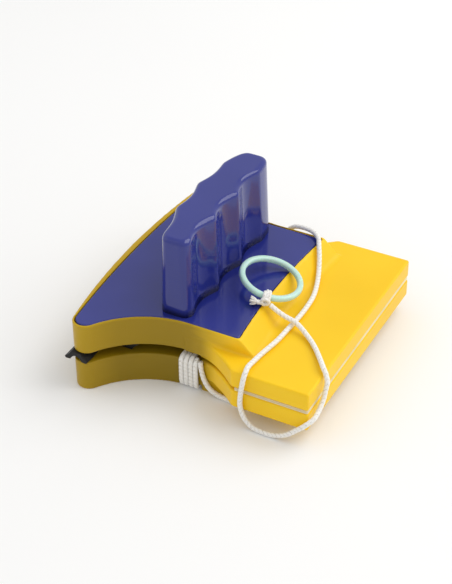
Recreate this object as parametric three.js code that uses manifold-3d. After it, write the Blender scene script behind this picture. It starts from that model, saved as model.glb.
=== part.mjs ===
// Magnetic glass cleaner: two magnet-held halves with a finger grip, rubber wipers and a tether.
// Millimetres, +Z up. The wide wiper edge faces -X, the magnet block +X, and Y is the width.
// The inner half carries the grip and lies on top. The outer half is its mirror image below.
import * as THREE from 'three';
import * as BufferGeometryUtils from 'three/addons/utils/BufferGeometryUtils.js';
import Module from 'manifold-3d';

const wasm = await Module();
wasm.setup();

// ---------- driving dimensions ----------
const MID_Z = 19;                 // plane between the two halves
const UNIT_TOP = 19;              // half height of the stack, measured from MID_Z
const WING_FLOOR = 2.8;           // inner face of a wing, from MID_Z
const BLOCK_FACE = 1.0;           // mating face of a block, from MID_Z
const BLOCK_TOP = 10.7;           // outer face of a block, from MID_Z
const CLEARANCE = 0.3;            // between pieces that touch
const EDGE_ROUND = 0.8;

const WIDE_EDGE_X = -61.6;        // middle of the wiper edge
const WIDE_EDGE_RADIUS = 400;
const WAIST = new THREE.Vector2(-4, 95.3);   // centre of the concave side
const WAIST_RADIUS = 47.9;
const WING_CORNER = 6.4;
const BLOCK_RIGHT_X = 64.2;
const BLOCK_LEFT_X = 26;
const BLOCK_HALF_Y = 60;
const BLOCK_CORNER = 1.2;
const WALL = 2.2;
const FLOOR_TOP = WING_FLOOR + WALL;

const PANEL_EDGE_X = 18.9;        // middle of the panel's bowed end
const PANEL_EDGE_RADIUS = 387;
const PANEL_SIDE_INSET = 1.1;
const PANEL_WIDE_INSET = 3.2;
const PANEL_WIDE_RADIUS = 620;
const PANEL_CORNER = 5.6;
const PANEL_THICK = 1.8;
const PANEL_TOP = 18.8;
const RAMP_RUN = 8.6;

const GRIP_X = -16;
const GRIP_Y = 0.3;
const GRIP_HALF_LENGTH = 43.6;
// Each side's reach from the centre line, how far it bows, the depth of its grooves, and how
// squarely it meets the two ends.
const FINGER_SIDE = { reach: 10.3, bow: 0, groove: 3.6, near: 7, far: 5.5 };
const PALM_SIDE = { reach: 12.4, bow: 4.6, groove: 2.3, near: 4, far: 3.7 };
const GRIP_BOW_Y = 5.7;           // where the bow is fullest, from the middle of the grip
const GRIP_PITCH = 23.4;          // from one finger groove to the next
const GROOVE_Y = -5;              // middle groove, from the middle of the grip
const GRIP_TOP_Z = 80;
const GRIP_ROUND = 2.8;
const GRIP_DRAFT = 1.2;
const GRIP_WALL = 2.4;
const GRIP_SCREW_Y = 22;

const SCREW_SHANK = 1.3;
const SCREW_HOLE = 1.6;
const SCREW_HEAD = 2.8;
const BOSS_RADIUS = 3.6;
const CASE_SCREWS = [[-24, -36], [-24, 36], [9, -30], [9, 30]];

const BLADE_REACH = 2.4;          // how far the lips cross MID_Z
const INNER_BLADE_X = -52;
const OUTER_BLADE_X = -35.6;
const INNER_BLADE_LENGTH = 146;
const OUTER_BLADE_LENGTH = 106;
const BLADE_LIP_HALF = 6.2;
const BLADE_ROOT_HALF = 2.6;
const BLADE_SLOT_HALF = 3.4;
const INNER_SLOT_LENGTH = 114;
const OUTER_SLOT_LENGTH = 96;
const RAIL_TOP = 8.4;

const MAGNET = { x: 27, y: 46, z: 3.8, gap: 6 };
const YOKE = { x: 29, y: 106, z: 1.5 };

const CORD = 2.4;                  // thickness of the tether
const WINDING_X = [-9.2, 1.0];    // the turns round the outer half's waist
const CHANNEL_DEPTH = 2.8;        // recess for them in the outer panel
const RING = { x: 16.2, y: -1.1, z: 41.6, radius: 14.5, tube: 1.5, tiltX: -2.6, tiltY: 15.3 };
const END_KNOT = { x: -62.52, y: 1.5, z: 34, lift: 0.8 };
const KNOT_ANGLE = -72.5;         // where on the ring the knot sits, degrees
const KNOT_RADIUS = 2.9;
const END_KNOT_RADIUS = 2.1;

// Route of the tether's two lengths: from the winding under the neck and up the far side,
// then over the inner half, round its near corner and back to the ring.
const LEAD = [[2.5, -48.9, 18.6], [3, -49, 14.2], [4.6, -49.3, 9], [7.1, -49.4, 5], [10.6, -49.3, 2.5],
  [15.2, -49.2, 1.5], [20.6, -49.5, 1.4], [25.3, -49.2, 1.4], [28.6, -46.1, 1.4], [29.8, -40.8, 1.4],
  [30, -31, 1.4], [30.2, -11, 1.4], [30.2, 11, 1.4], [30, 31, 1.4], [29.8, 40, 1.4], [28.2, 45.8, 1.4],
  [24.6, 49.2, 1.4], [19.8, 50.4, 1.7], [14.2, 50.6, 2.9], [8.6, 50.5, 6.2], [4.9, 50.1, 11],
  [3.2, 49.6, 16.1], [2.2, 49.4, 20.6], [0.9, 49.3, 26], [0.2, 49.2, 30.5]];
const LINE = [[0.1, 49.2, 31.1], [0.3, 49.25, 32.8], [1.6, 49.4, 35.7],
  [5, 49.4, 38.4], [10, 49, 39.4], [15.6, 47.7, 39.6], [20.6, 43.4, 39.8], [23.6, 38, 38.9],
  [26.2, 33, 36.6], [28.6, 27.6, 33.5], [31.6, 19.5, 31.6], [34.8, 8, 31.3], [35.8, -2.9, 31.3],
  [35.8, -12, 31.3], [35.3, -21, 31.3], [34.6, -32, 31.3], [32.8, -43, 31.3], [32, -51, 31.6],
  [32.1, -57, 32.5], [32.4, -60, 31.75], [32.4, -62.15, 29.6], [32.1, -62.9, 26.6], [31, -62.4, 20],
  [30.5, -62, 12.4], [32.4, -62, 6.2], [36.4, -62.3, 2.4], [42, -62.5, 1.4], [48, -62.4, 1.6],
  [54, -62.3, 4], [59.6, -62.3, 9], [63.8, -62, 13.2], [66.6, -58.6, 15.7], [66.9, -53.6, 17.4],
  [66.9, -49.2, 20.4], [66.9, -46.9, 24.6], [66.9, -45.4, 27.9], [65.5, -43.8, 30.7], [62.8, -41.2, 32.1],
  [57.4, -34.2, 31.6], [51.6, -27.4, 31.3], [44.6, -21.6, 31.9], [37.8, -18.4, 33.9], [31.6, -17.8, 35.2],
  [27.2, -17.6, 37], [23.7, -17.4, 38.9]];

// ---------- materials ----------
const plastic = (color, roughness) => new THREE.MeshStandardMaterial({ color, roughness, metalness: 0 });
const metal = (color, roughness) => new THREE.MeshStandardMaterial({ color, roughness, metalness: 1 });
const YELLOW = plastic(0xf6c81f, 0.38);
const BLUE = plastic(0x2c3192, 0.16);
const RUBBER = plastic(0x202022, 0.7);
const RAIL = plastic(0x2a2a2d, 0.55);
const FELT = plastic(0xe9e3d2, 0.95);
const STEEL = metal(0xa8abb0, 0.4);
const SCREW = metal(0xc2c5ca, 0.3);
const MAGNET_GREY = metal(0x6f7278, 0.35);
const ROPE = plastic(0xf1eee6, 0.85);
const MINT = plastic(0xa3d6c8, 0.35);

// ---------- solids and booleans ----------
function solid(geometry) {
  const bare = geometry.index ? geometry.toNonIndexed() : geometry.clone();
  bare.deleteAttribute('normal');
  bare.deleteAttribute('uv');
  const merged = BufferGeometryUtils.mergeVertices(bare, 1e-4);
  return new wasm.Manifold(new wasm.Mesh({
    numProp: 3,
    vertProperties: new Float32Array(merged.attributes.position.array),
    triVerts: new Uint32Array(merged.index.array),
  }));
}

function geometryOf(manifold) {
  const mesh = manifold.asOriginal().simplify(0.004).getMesh();
  const geometry = new THREE.BufferGeometry();
  geometry.setAttribute('position', new THREE.BufferAttribute(new Float32Array(mesh.vertProperties), 3));
  geometry.setIndex(new THREE.BufferAttribute(new Uint32Array(mesh.triVerts), 1));
  geometry.computeVertexNormals();
  return geometry;
}

// A closed solid through a stack of rings with equal point counts, from the lowest ring up.
function loft(rings) {
  const count = rings[0].length;
  const faces = THREE.ShapeUtils.triangulateShape(rings[0], [])
    .map(([a, b, c]) => [a, c, b]);
  for (let level = 1; level < rings.length; level += 1) {
    for (let i = 0; i < count; i += 1) {
      const [a, b] = [(level - 1) * count + i, (level - 1) * count + ((i + 1) % count)];
      faces.push([a, b, b + count], [a, b + count, a + count]);
    }
  }
  const top = (rings.length - 1) * count;
  faces.push(...THREE.ShapeUtils.triangulateShape(rings.at(-1), []).map((face) => face.map((v) => v + top)));
  const geometry = new THREE.BufferGeometry().setFromPoints(rings.flat());
  geometry.setIndex(faces.flat());
  return solid(geometry);
}

const join = (first, ...rest) => rest.reduce((sum, piece) => sum.add(piece), first);
const cut = (first, ...rest) => rest.reduce((left, piece) => left.subtract(piece), first);

// A plate of the given outline from height low to high, with rounded top and bottom edges.
function plate(shape, low, high, round = 0, curveSegments = 8) {
  const geometry = new THREE.ExtrudeGeometry(shape, {
    depth: high - low - 2 * round,
    bevelEnabled: round > 0,
    bevelThickness: round,
    bevelSize: round,
    bevelOffset: -round,
    bevelSegments: 2,
    curveSegments,
  });
  return solid(geometry.translate(0, 0, low + round));
}

function box(x0, x1, y0, y1, z0, z1) {
  const geometry = new THREE.BoxGeometry(x1 - x0, y1 - y0, z1 - z0);
  return solid(geometry.translate((x0 + x1) / 2, (y0 + y1) / 2, (z0 + z1) / 2));
}

function cylinder(x, y, z0, z1, radius, segments = 20) {
  const geometry = new THREE.CylinderGeometry(radius, radius, z1 - z0, segments);
  return solid(geometry.rotateX(Math.PI / 2).translate(x, y, (z0 + z1) / 2));
}

function rodAlongX(x, y, z, radius, length) {
  const geometry = new THREE.CylinderGeometry(radius, radius, length, 20).rotateZ(Math.PI / 2);
  return solid(geometry.translate(x, y, z));
}

// ---------- outlines ----------
// The crossing of two circles with the smaller x.
function crossing(centreA, radiusA, centreB, radiusB) {
  const between = new THREE.Vector2().subVectors(centreB, centreA);
  const distance = between.length();
  const along = (radiusA ** 2 - radiusB ** 2 + distance ** 2) / (2 * distance);
  const across = Math.sqrt(radiusA ** 2 - along ** 2);
  const foot = centreA.clone().addScaledVector(between, along / distance);
  const side = new THREE.Vector2(-between.y, between.x).multiplyScalar(across / distance);
  const options = [foot.clone().add(side), foot.clone().sub(side)];
  return options[0].x < options[1].x ? options[0] : options[1];
}

const angleTo = (from, to) => Math.atan2(to.y - from.y, to.x - from.x);

// The wing: bowed wiper edge, rounded corners, concave sides, and the end given by endEdge.
function wingOutline(wideInset, sideInset, corner, endEdge, wideRadius = WIDE_EDGE_RADIUS) {
  const wideCentre = new THREE.Vector2(WIDE_EDGE_X + wideInset + wideRadius, 0);
  const sideRadius = WAIST_RADIUS + sideInset;
  const cornerCentre = crossing(WAIST, sideRadius + corner, wideCentre, wideRadius - corner);
  const mirror = (point) => new THREE.Vector2(point.x, -point.y);
  const sideAngle = angleTo(WAIST, cornerCentre);
  const wideAngle = angleTo(wideCentre, cornerCentre);
  const outline = new THREE.Shape();
  outline.moveTo(WAIST.x, WAIST.y - sideRadius);
  outline.absarc(WAIST.x, WAIST.y, sideRadius, -Math.PI / 2, sideAngle, true);
  outline.absarc(cornerCentre.x, cornerCentre.y, corner, sideAngle + Math.PI, wideAngle, false);
  outline.absarc(wideCentre.x, 0, wideRadius, wideAngle, -wideAngle, false);
  const lower = mirror(cornerCentre);
  outline.absarc(lower.x, lower.y, corner, -wideAngle, -sideAngle - Math.PI, false);
  outline.absarc(WAIST.x, -WAIST.y, sideRadius, -sideAngle, Math.PI / 2, true);
  endEdge(outline, WAIST.y - sideRadius);
  return outline;
}

const flatEnd = (x) => (outline, halfWidth) => {
  outline.lineTo(x, -halfWidth);
  outline.lineTo(x, halfWidth);
};

// The panel's end, bowed inwards, with small round corners.
const bowedEnd = (inset, corner = 2) => (outline, halfWidth) => {
  const centreX = PANEL_EDGE_X + PANEL_EDGE_RADIUS;
  const radius = PANEL_EDGE_RADIUS + inset;
  const spread = Math.asin((halfWidth - corner) / radius);
  const tipX = centreX - radius * Math.cos(Math.asin(halfWidth / radius));
  outline.lineTo(tipX - corner, -halfWidth);
  outline.quadraticCurveTo(tipX, -halfWidth, centreX - radius * Math.cos(spread), -halfWidth + corner);
  outline.absarc(centreX, 0, radius, Math.PI + spread, Math.PI - spread, true);
  outline.quadraticCurveTo(tipX, halfWidth, tipX - corner, halfWidth);
};

const panelOutline = (inset) => wingOutline(
  PANEL_WIDE_INSET + inset, PANEL_SIDE_INSET + inset, PANEL_CORNER, bowedEnd(inset), PANEL_WIDE_RADIUS);

// The magnet block with the flares that run into the waist.
function blockOutline(inset, leftX) {
  const right = BLOCK_RIGHT_X - inset;
  const half = BLOCK_HALF_Y - inset;
  const r = Math.max(BLOCK_CORNER - inset, 0.6);
  const left = leftX + inset;
  const outline = new THREE.Shape();
  outline.moveTo(left, -half);
  outline.lineTo(right - r, -half);
  outline.absarc(right - r, -half + r, r, -Math.PI / 2, 0, false);
  outline.absarc(right - r, half - r, r, 0, Math.PI / 2, false);
  outline.lineTo(left, half);
  return outline;
}

function flaredBlockOutline() {
  const waistHalf = WAIST.y - WAIST_RADIUS;
  const outline = blockOutline(0, BLOCK_LEFT_X);
  const flareStart = 3;
  const bendX = 11;
  outline.quadraticCurveTo(BLOCK_LEFT_X - 1.5, BLOCK_HALF_Y, BLOCK_LEFT_X - 3, BLOCK_HALF_Y - 1.5);
  outline.quadraticCurveTo(bendX, waistHalf + 1.2, flareStart, waistHalf);
  outline.lineTo(-6, waistHalf);
  outline.lineTo(-6, -waistHalf);
  outline.lineTo(flareStart, -waistHalf);
  outline.quadraticCurveTo(bendX, -waistHalf - 1.2, BLOCK_LEFT_X - 3, -BLOCK_HALF_Y + 1.5);
  outline.quadraticCurveTo(BLOCK_LEFT_X - 1.5, -BLOCK_HALF_Y, BLOCK_LEFT_X, -BLOCK_HALF_Y);
  return outline;
}

// ---------- one half, built above z = 0 and placed by its group ----------
// What stands above the sloping step between the panel and the block.
function aboveRamp() {
  const top = PANEL_EDGE_RADIUS - 0.8;
  const profile = [[top, UNIT_TOP + 1], [top - RAMP_RUN - 30, UNIT_TOP + 1], [top - RAMP_RUN - 30, BLOCK_TOP],
    [top - RAMP_RUN, BLOCK_TOP], [top, UNIT_TOP], [top, UNIT_TOP + 1]];
  const turned = new THREE.LatheGeometry(profile.map(([r, z]) => new THREE.Vector2(r, z)), 240);
  turned.rotateX(Math.PI / 2);
  return solid(turned.translate(PANEL_EDGE_X + PANEL_EDGE_RADIUS, 0, 0));
}

function housing(bladeX, bladeSlotHalf, isOuter) {
  const wing = cut(plate(wingOutline(0, 0, WING_CORNER, flatEnd(34)), WING_FLOOR, UNIT_TOP, EDGE_ROUND),
    aboveRamp());
  const block = plate(flaredBlockOutline(), BLOCK_FACE, BLOCK_TOP, EDGE_ROUND);
  const underWing = plate(wingOutline(-3, -3, WING_CORNER, flatEnd(2)), -1, WING_FLOOR);
  let body = join(wing, cut(block, underWing));
  const seatDepth = UNIT_TOP - PANEL_TOP + PANEL_THICK + CLEARANCE;
  const wingCavity = wingOutline(7, 3.6, PANEL_CORNER, bowedEnd(3, 4));
  body = cut(body,
    plate(panelOutline(-CLEARANCE), UNIT_TOP - seatDepth, UNIT_TOP + 1),
    plate(wingCavity, FLOOR_TOP, UNIT_TOP),
    plate(blockOutline(WALL, BLOCK_LEFT_X + 2), 0, BLOCK_TOP - WALL));
  const slotWall = box(bladeX - BLADE_SLOT_HALF - 1.6, bladeX + BLADE_SLOT_HALF + 1.6,
    -bladeSlotHalf - 1.6, bladeSlotHalf + 1.6, WING_FLOOR + 0.5, RAIL_TOP + 1.8);
  body = join(body, slotWall);
  body = cut(body, box(bladeX - BLADE_SLOT_HALF, bladeX + BLADE_SLOT_HALF,
    -bladeSlotHalf, bladeSlotHalf, 0, RAIL_TOP + CLEARANCE));
  for (const [x, y] of CASE_SCREWS) {
    body = cut(body, cylinder(x, y, 0, UNIT_TOP, SCREW_HOLE),
      cylinder(x, y, 0, WING_FLOOR + 1.2, SCREW_HEAD + CLEARANCE));
  }
  if (isOuter) {
    const [x0, x1] = WINDING_X;
    body = cut(body, box(x0 - 0.8, x1 + 0.8, -60, 60, UNIT_TOP - CHANNEL_DEPTH, UNIT_TOP + 1),
      box(x0 - 2.6, x1 + 2.6, -46, 46, UNIT_TOP - CHANNEL_DEPTH - 2.2, UNIT_TOP + 1));
  } else {
    const knotZ = END_KNOT.z - MID_Z;
    const hole = rodAlongX(WIDE_EDGE_X + 5, END_KNOT.y, knotZ, 1.4, 12);
    const dimple = rodAlongX(WIDE_EDGE_X - 0.4, END_KNOT.y, knotZ + END_KNOT.lift, END_KNOT_RADIUS + 0.4, 4);
    body = cut(body, hole, dimple);
  }
  return body;
}

function coverPanel(isOuter) {
  const low = PANEL_TOP - PANEL_THICK;
  let panel = plate(panelOutline(0), low, PANEL_TOP, 0.3);
  const [x0, x1] = WINDING_X;
  const channelLow = UNIT_TOP - CHANNEL_DEPTH;
  if (isOuter) {
    panel = join(panel, box(x0 - 2.3, x1 + 2.3, -45.6, 45.6, channelLow - 1.8, PANEL_TOP - 0.3));
    panel = cut(panel, box(x0 - 0.8, x1 + 0.8, -60, 60, channelLow, UNIT_TOP + 1));
  }
  for (const [x, y] of CASE_SCREWS) {
    panel = join(panel, cylinder(x, y, FLOOR_TOP + CLEARANCE, PANEL_TOP - 0.5, BOSS_RADIUS, 18));
    panel = cut(panel, cylinder(x, y, 0, PANEL_TOP - 2.2, SCREW_HOLE, 16));
  }
  if (!isOuter) {
    for (const side of [-1, 1]) {
      panel = cut(panel, cylinder(GRIP_X, GRIP_Y + side * GRIP_SCREW_Y, 0, UNIT_TOP + 2, SCREW_HOLE, 16));
    }
  }
  return panel;
}

// Double-lip wiper: two splayed lips on a foot that slides into the rail.
function wiper(halfLength, footHalf) {
  const lips = new THREE.Shape();
  const lip = BLADE_LIP_HALF;
  const root = WING_FLOOR - CLEARANCE;
  lips.moveTo(-BLADE_ROOT_HALF, root);
  lips.lineTo(-lip, -BLADE_REACH + 1.0);
  lips.quadraticCurveTo(-lip, -BLADE_REACH, -lip + 1.1, -BLADE_REACH);
  lips.lineTo(-lip + 3.0, -BLADE_REACH);
  lips.quadraticCurveTo(-1.6, -0.2, 0, -0.1);
  lips.quadraticCurveTo(1.6, -0.2, lip - 3.0, -BLADE_REACH);
  lips.lineTo(lip - 1.1, -BLADE_REACH);
  lips.quadraticCurveTo(lip, -BLADE_REACH, lip, -BLADE_REACH + 1.0);
  lips.lineTo(BLADE_ROOT_HALF, root);
  const along = (shape, half) => {
    const settings = { depth: 2 * half, bevelEnabled: false, curveSegments: 4 };
    const extruded = new THREE.ExtrudeGeometry(shape, settings);
    return solid(extruded.rotateX(Math.PI / 2).translate(0, half, 0));
  };
  return join(along(lips, halfLength),
    box(-0.9, 0.9, -footHalf, footHalf, root - 0.5, 6.5),
    box(-1.9, 1.9, -footHalf, footHalf, 5.4, 6.9));
}

// The rail is a C-section that grips the wiper's foot.
function bladeRail(half) {
  return cut(box(-3.1, 3.1, -half, half, WING_FLOOR, RAIL_TOP),
    box(-1.2, 1.2, -half - 1, half + 1, 0, 6.9),
    box(-2.2, 2.2, -half - 1, half + 1, 5.1, 7.2));
}

function screw(length) {
  const profile = [[0, 0], [SCREW_HEAD, 0], [SCREW_HEAD, 0.5], [SCREW_SHANK, 1.0],
    [SCREW_SHANK, length - 1], [0.3, length], [0, length]];
  const turned = new THREE.LatheGeometry(profile.map(([r, z]) => new THREE.Vector2(r, z)), 16);
  turned.rotateX(Math.PI / 2);
  const slot = box(-2, 2, -0.35, 0.35, -1, 0.4);
  return cut(solid(turned), slot, slot.rotate([0, 0, 90]));
}

// ---------- the finger grip ----------
// One side of the grip: a bowed face with three scallops between narrow rounded lobes.
function gripSide({ reach, bow, groove }, y) {
  const lobeWidth = 0.12;
  const turns = Math.min(Math.abs(y - GROOVE_Y) / GRIP_PITCH, 1.5);
  const wave = Math.hypot(Math.cos(Math.PI * turns), lobeWidth) - lobeWidth;
  return reach - bow * ((y - GRIP_BOW_Y) / GRIP_HALF_LENGTH) ** 2 - groove * wave;
}

function gripRing(inset, z) {
  const stations = 34;
  const ring = [];
  for (const [side, profile] of [[1, FINGER_SIDE], [-1, PALM_SIDE]]) {
    for (let i = 0; i < stations; i += 1) {
      const share = side * Math.sin(Math.PI * (i / stations - 0.5));
      const power = share < 0 ? profile.near : profile.far;
      const end = (1 - Math.abs(share) ** power) ** (1 / power);
      const x = (gripSide(profile, share * GRIP_HALF_LENGTH) - inset) * end;
      ring.push(new THREE.Vector3(side * x, share * (GRIP_HALF_LENGTH - inset), z));
    }
  }
  return ring;
}

// A block that spreads towards its foot by GRIP_DRAFT and has a rounded top edge.
function gripBlock(inset, low, high, round) {
  const rings = [gripRing(inset - GRIP_DRAFT, low)];
  const steps = 4;
  for (let i = 0; i <= steps; i += 1) {
    const turn = (Math.PI / 2) * (i / steps);
    rings.push(gripRing(inset + round * (1 - Math.cos(turn)), high - round * (1 - Math.sin(turn))));
  }
  return loft(round > 0 ? rings : [rings[0], rings[1]]);
}

function grip() {
  const low = PANEL_TOP + CLEARANCE;
  const high = GRIP_TOP_Z - MID_Z;
  let body = cut(gripBlock(0, low, high, GRIP_ROUND), gripBlock(GRIP_WALL, low - 1, high - GRIP_WALL, 0));
  for (const side of [-1, 1]) {
    body = join(body, cylinder(0, side * GRIP_SCREW_Y, low, high - 1.5, BOSS_RADIUS, 18));
    body = cut(body, cylinder(0, side * GRIP_SCREW_Y, low - 1, low + 16, SCREW_HOLE, 16));
  }
  return body;
}

// ---------- the tether ----------
function cordTube(points) {
  const route = new THREE.CatmullRomCurve3(points.map((p) => new THREE.Vector3(...p)), false, 'centripetal');
  const section = new THREE.Shape();
  const sides = 8;
  for (let i = 0; i < sides; i += 1) {
    const turn = (2 * Math.PI * i) / sides;
    const corner = [Math.cos(turn) * CORD / 2, Math.sin(turn) * CORD / 2];
    if (i === 0) section.moveTo(...corner);
    else section.lineTo(...corner);
  }
  const steps = Math.round(route.getLength() / (CORD * 2.1));
  return new THREE.ExtrudeGeometry(section, { steps, bevelEnabled: false, extrudePath: route });
}

// The turns round the outer half's waist, as one band of their outer shape.
function winding() {
  const [x0, x1] = WINDING_X;
  const half = WAIST.y - WAIST_RADIUS + 2 * CLEARANCE;
  const under = CHANNEL_DEPTH - CLEARANCE;
  const over = MID_Z - WING_FLOOR + CLEARANCE;
  const band = box(x0, x1, -half - CORD, half + CORD, 0.1, over + CORD);
  return cut(band, box(x0 - 1, x1 + 1, -half, half, under, over));
}

function placeRing(object) {
  object.position.set(RING.x, RING.y, RING.z);
  object.rotation.set(THREE.MathUtils.degToRad(RING.tiltX), THREE.MathUtils.degToRad(RING.tiltY), 0);
}

// A round knot with a tunnel for the ring and a short tail, in the ring's own frame.
function ringKnot() {
  const angle = THREE.MathUtils.degToRad(KNOT_ANGLE);
  const ball = new THREE.SphereGeometry(KNOT_RADIUS, 14, 9);
  const tail = new THREE.CylinderGeometry(1.1, 1.4, 5.5, 8).rotateZ(Math.PI / 2).translate(-4.2, -2.6, -1.6);
  const tunnel = rodAlongX(0, 0, 0, RING.tube + 0.55, 14);
  const knot = cut(join(solid(ball), solid(tail)), tunnel);
  const placed = geometryOf(knot).rotateZ(angle + Math.PI / 2);
  return placed.translate(RING.radius * Math.cos(angle), RING.radius * Math.sin(angle), 0);
}

// The stop knot outside the small hole in the wiper edge, with its stub through the wall.
function endKnot() {
  const ball = new THREE.SphereGeometry(END_KNOT_RADIUS, 12, 8).scale(0.8, 1, 1);
  return join(solid(ball.translate(0, 0, END_KNOT.lift)), rodAlongX(4, 0, 0, 1.1, 7));
}

// ---------- assembly ----------
const cleaner = new THREE.Group();

function add(parent, name, shape, material) {
  const geometry = shape instanceof THREE.BufferGeometry ? shape : geometryOf(shape);
  const mesh = new THREE.Mesh(geometry, material);
  mesh.name = name;
  parent.add(mesh);
  return mesh;
}

function addHalf(prefix, isOuter) {
  const half = new THREE.Group();
  half.position.z = MID_Z;
  if (isOuter) half.rotation.x = Math.PI;
  cleaner.add(half);
  const bladeX = isOuter ? OUTER_BLADE_X : INNER_BLADE_X;
  const slotHalf = (isOuter ? OUTER_SLOT_LENGTH : INNER_SLOT_LENGTH) / 2;
  const bladeHalf = (isOuter ? OUTER_BLADE_LENGTH : INNER_BLADE_LENGTH) / 2;
  add(half, `${prefix}_housing`, housing(bladeX, slotHalf, isOuter), YELLOW);
  add(half, `${prefix}_cover_panel`, coverPanel(isOuter), BLUE);
  add(half, `${prefix}_blade_rail`, bladeRail(slotHalf - CLEARANCE), RAIL).position.x = bladeX;
  add(half, `${prefix}_wiper_blade`, wiper(bladeHalf, slotHalf - 1), RUBBER).position.x = bladeX;

  const blockMidX = (BLOCK_LEFT_X + 2 + BLOCK_RIGHT_X) / 2;
  const padOutline = blockOutline(0.3, BLOCK_LEFT_X);
  add(half, `${prefix}_felt_pad`, plate(padOutline, 0.15, BLOCK_FACE - 0.25), FELT);
  const lidOutline = blockOutline(WALL + CLEARANCE, BLOCK_LEFT_X + 2);
  add(half, `${prefix}_magnet_lid`, plate(lidOutline, BLOCK_FACE + 0.05, BLOCK_FACE + 1.25), YELLOW);
  const yokeTop = BLOCK_TOP - WALL - CLEARANCE;
  const magnetTop = yokeTop - YOKE.z - CLEARANCE;
  add(half, `${prefix}_yoke_plate`, box(blockMidX - YOKE.x / 2, blockMidX + YOKE.x / 2,
    -YOKE.y / 2, YOKE.y / 2, yokeTop - YOKE.z, yokeTop), STEEL);
  for (const side of [-1, 1]) {
    const near = side * MAGNET.gap / 2;
    const far = near + side * MAGNET.y;
    add(half, `${prefix}_magnet_${side < 0 ? 1 : 2}`, box(blockMidX - MAGNET.x / 2, blockMidX + MAGNET.x / 2,
      Math.min(near, far), Math.max(near, far), magnetTop - MAGNET.z, magnetTop), MAGNET_GREY);
  }
  CASE_SCREWS.forEach(([x, y], index) => {
    const fastener = add(half, `${prefix}_case_screw_${index + 1}`, screw(12.6), SCREW);
    fastener.position.set(x, y, WING_FLOOR + 0.1);
  });
  return half;
}

const inner = addHalf('inner', false);
addHalf('outer', true);

add(inner, 'grip_handle', grip(), BLUE).position.set(GRIP_X, GRIP_Y, 0);
for (const side of [-1, 1]) {
  const fastener = add(inner, `grip_screw_${side < 0 ? 1 : 2}`, screw(14), SCREW);
  fastener.position.set(GRIP_X, GRIP_Y + side * GRIP_SCREW_Y, PANEL_TOP - PANEL_THICK - 1.3);
}

add(cleaner, 'tether_winding', winding(), ROPE);
add(cleaner, 'tether_cord_lead', cordTube(LEAD), ROPE);
add(cleaner, 'tether_cord_line', cordTube(LINE), ROPE);
placeRing(add(cleaner, 'tether_ring', new THREE.TorusGeometry(RING.radius, RING.tube, 8, 36), MINT));
placeRing(add(cleaner, 'tether_ring_knot', ringKnot(), ROPE));
add(cleaner, 'tether_end_knot', endKnot(), ROPE)
  .position.set(END_KNOT.x, END_KNOT.y, END_KNOT.z);

export default cleaner;
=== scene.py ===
"""Magnetic glass cleaner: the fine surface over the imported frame.

Shapes are worked out in millimetres in the frame's own axes and scaled to metres when a mesh is made.
"""

import math

import bpy
import numpy as np
from mathutils import Matrix, Vector


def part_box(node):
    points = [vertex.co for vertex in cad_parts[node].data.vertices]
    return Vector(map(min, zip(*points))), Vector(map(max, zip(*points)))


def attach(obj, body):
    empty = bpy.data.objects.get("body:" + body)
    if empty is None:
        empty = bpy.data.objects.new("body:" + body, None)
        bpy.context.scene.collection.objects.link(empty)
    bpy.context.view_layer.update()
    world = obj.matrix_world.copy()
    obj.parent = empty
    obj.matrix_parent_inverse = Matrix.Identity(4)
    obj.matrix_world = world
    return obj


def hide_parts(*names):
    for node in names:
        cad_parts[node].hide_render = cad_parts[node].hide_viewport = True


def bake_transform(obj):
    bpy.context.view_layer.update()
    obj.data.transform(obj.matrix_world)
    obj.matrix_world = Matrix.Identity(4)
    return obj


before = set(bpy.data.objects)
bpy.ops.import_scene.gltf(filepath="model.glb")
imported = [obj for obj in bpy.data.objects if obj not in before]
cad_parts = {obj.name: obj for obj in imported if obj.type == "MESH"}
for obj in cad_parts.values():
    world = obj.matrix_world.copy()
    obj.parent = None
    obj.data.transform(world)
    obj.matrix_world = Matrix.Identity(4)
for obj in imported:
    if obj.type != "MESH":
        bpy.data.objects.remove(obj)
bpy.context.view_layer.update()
MM = 0.001


def node_box(name):
    """A CAD node's lowest and highest corner in millimetres."""
    low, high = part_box(name)
    return np.array(low) / MM, np.array(high) / MM


# ---------- dimensions in millimetres, from the frame where it holds them ----------
HOUSING_LOW, HOUSING_HIGH = node_box("inner_housing")
PANEL_HIGH = node_box("inner_cover_panel")[1]
GRIP_LOW, GRIP_HIGH = node_box("grip_handle")
WINDING_LOW, WINDING_HIGH = node_box("tether_winding")

# The units mirror each other in the plane z = MID_Z, and each unit's own heights count from it.
MID_Z = HOUSING_HIGH[2] / 2
UNIT_TOP = HOUSING_HIGH[2] - MID_Z
BLOCK_FACE = HOUSING_LOW[2] - MID_Z
BLOCK_RIGHT = HOUSING_HIGH[0]
BLOCK_HALF_Y = 60.0
BLOCK_LEFT = 26.0
BLOCK_TOP = 10.7
BLOCK_CORNER = 1.2
WING_FLOOR = 2.8
WALL = 2.2

WIDE_X = HOUSING_LOW[0]
WIDE_RADIUS = 400.0
WAIST = np.array([-4.0, 95.3])
WAIST_RADIUS = 47.9
WING_CORNER = 6.4
PANEL_EDGE_X = 18.9
PANEL_EDGE_RADIUS = 387.0
PANEL_WIDE_RADIUS = 620.0
PANEL_CORNER = 5.6
PANEL_INSET = (3.2, 1.1)
PANEL_TOP = PANEL_HIGH[2] - MID_Z
PANEL_THICK = 1.8
RAMP_RUN = 8.6
RAMP_START = 0.8
SEAM = 0.3
CASE_SCREWS = [(-24, -36), (-24, 36), (9, -30), (9, 30)]
SCREW_HOLE = 1.6
SCREW_HEAD = 3.1
SCREW_BOSS = 3.6

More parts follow.
